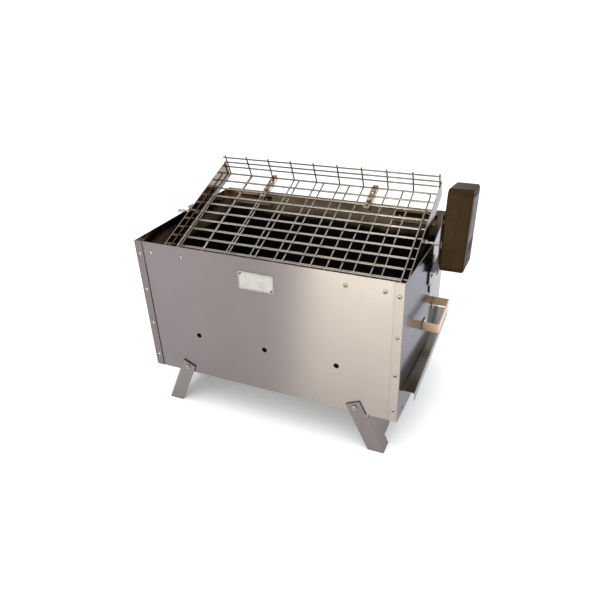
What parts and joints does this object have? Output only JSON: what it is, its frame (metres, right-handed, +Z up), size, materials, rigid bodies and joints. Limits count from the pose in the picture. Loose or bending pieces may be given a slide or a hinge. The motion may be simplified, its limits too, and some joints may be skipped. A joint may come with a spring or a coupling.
{
  "type": "folding charcoal spit roaster",
  "caption": "Riveted steel charcoal roaster on folding legs, with slide-out tray, hinged wire basket turning on a spit, and a battery gear motor that pulls off",
  "frame": {"origin": "on the ground under the middle of the whole part, legs open", "axes": "X along the firebox towards the motor, Y from the front (information plate) to the back, Z up"},
  "size_m": [0.595, 0.3446, 0.4432],
  "materials": {
    "brushed_panel": "brushed along its length, lightly marked",
    "polished_panel": "mill-polished, more mirror-like than the front",
    "dull_sheet": "dull mill finish with heat stains",
    "rivet_metal": "satin",
    "plate_finish": "white enamel, blank",
    "strip_steel": "brushed strip",
    "handle_steel": "brushed strip, straw-coloured from heat",
    "latch_steel": "pressed sheet, heat-tinted",
    "zinc_fastener": "zinc plated",
    "basket_plate_steel": "satin with heat marks",
    "bright_wire": "bright drawn wire",
    "black_housing": "fine-grained matte moulding",
    "label_grey": "plain satin panel",
    "mount_steel": "dark paint",
    "gear_plastic": "moulded nylon",
    "motor_can": "plated can",
    "cell_jacket": "plain printed jacket",
    "contact_brass": "bright",
    "switch_plastic": "black moulding"
  },
  "bodies": {
    "firebox": {"front_panel": "brushed_panel", "back_panel": "brushed_panel", "left_end_panel": "polished_panel", "right_end_panel": "polished_panel", "floor_panel": "dull_sheet", "grate_supports": "dull_sheet", "tray_rails": "dull_sheet", "corner_rivets": "rivet_metal", "support_rivets": "rivet_metal", "floor_rivets": "rivet_metal", "information_plate": "plate_finish", "plate_rivets": "rivet_metal", "left_handle": "handle_steel", "right_handle": "handle_steel", "handle_rivets": "rivet_metal", "motor_bracket": "strip_steel", "bracket_screws": "zinc_fastener", "bracket_nuts": "zinc_fastener", "spit_keeper": "handle_steel", "keeper_rivet": "rivet_metal", "leg_bolts": "zinc_fastener", "leg_spacers": "zinc_fastener", "leg_nuts": "zinc_fastener"},
    "left_legs": {"left_leg_frame": "strip_steel"},
    "right_legs": {"right_leg_frame": "strip_steel"},
    "tray": {"charcoal_tray": "dull_sheet", "tray_edges": "dull_sheet"},
    "basket": {"left_basket_plate": "basket_plate_steel", "right_basket_plate": "basket_plate_steel", "basket_floor_wires": "bright_wire", "basket_front_wires": "bright_wire", "basket_back_wires": "bright_wire", "basket_cross_wires": "bright_wire", "left_spit_stub": "bright_wire", "right_spit_stub": "bright_wire", "spit_nuts": "zinc_fastener"},
    "lid": {"lid_frame": "bright_wire", "lid_long_wires": "bright_wire", "lid_cross_wires": "bright_wire", "lid_hinge_wires": "bright_wire"},
    "left_lid_latch": {"left_latch": "latch_steel", "left_latch_knob": "zinc_fastener"},
    "right_lid_latch": {"right_latch": "latch_steel", "right_latch_knob": "zinc_fastener"},
    "motor": {"motor_inner_shell": "black_housing", "motor_outer_shell": "black_housing", "label_panel": "label_grey", "housing_screws": "zinc_fastener", "motor_mounting_plate": "mount_steel", "mount_spacers": "zinc_fastener", "drive_bush": "gear_plastic", "idler_pin": "zinc_fastener", "electric_motor": "motor_can", "battery_cells": "cell_jacket", "battery_contacts": "contact_brass", "switch_block": "switch_plastic"},
    "switch": {"switch_knob": "switch_plastic"},
    "drive": {"drive_gear": "gear_plastic"},
    "idler": {"idler_gear": "gear_plastic"},
    "pinion": {"motor_pinion": "gear_plastic"}
  },
  "joints": [
    {"name": "left_leg_fold", "type": "hinge", "parent": "firebox", "child": "left_legs", "pos_m": [-0.18796, 0, 0.0885], "axis": [0, -1, 0], "range_deg": [0, 115]},
    {"name": "right_leg_fold", "type": "hinge", "parent": "firebox", "child": "right_legs", "pos_m": [0.15604, 0, 0.0885], "axis": [0, 1, 0], "range_deg": [0, 115]},
    {"name": "tray_slide", "type": "slide", "parent": "firebox", "child": "tray", "axis": [1, 0, 0], "range_m": [0, 0.465]},
    {"name": "basket_spin", "type": "hinge", "parent": "firebox", "child": "basket", "pos_m": [-0.01596, 0, 0.342], "axis": [1, 0, 0], "continuous": true},
    {"name": "lid_hinge", "type": "hinge", "parent": "basket", "child": "lid", "pos_m": [-0.01596, -0.12543, 0.28539], "axis": [1, 0, 0], "range_deg": [0, 58]},
    {"name": "left_latch_slide", "type": "slide", "parent": "lid", "child": "left_lid_latch", "axis": [0, 0.9272, 0.3746], "range_m": [0, 0.012]},
    {"name": "right_latch_slide", "type": "slide", "parent": "lid", "child": "right_lid_latch", "axis": [0, 0.9272, 0.3746], "range_m": [0, 0.012]},
    {"name": "motor_slide", "type": "slide", "parent": "firebox", "child": "motor", "axis": [1, 0, 0], "range_m": [0, 0.06]},
    {"name": "switch_slide", "type": "slide", "parent": "motor", "child": "switch", "axis": [0, 0.9877, -0.1564], "range_m": [0, 0.0058]},
    {"name": "drive_spin", "type": "hinge", "parent": "motor", "child": "drive", "pos_m": [0.26404, 0, 0.342], "axis": [1, 0, 0], "continuous": true},
    {"name": "idler_spin", "type": "hinge", "parent": "motor", "child": "idler", "pos_m": [0.26404, 0.00788, 0.36488], "axis": [1, 0, 0], "continuous": true},
    {"name": "pinion_spin", "type": "hinge", "parent": "motor", "child": "pinion", "pos_m": [0.26404, 0.01373, 0.38836], "axis": [1, 0, 0], "continuous": true}
  ],
  "couplings": [
    {"joint": "drive_spin", "follows": "basket_spin", "ratio": 1},
    {"joint": "idler_spin", "follows": "basket_spin", "ratio": -2},
    {"joint": "pinion_spin", "follows": "basket_spin", "ratio": 4}
  ]
}
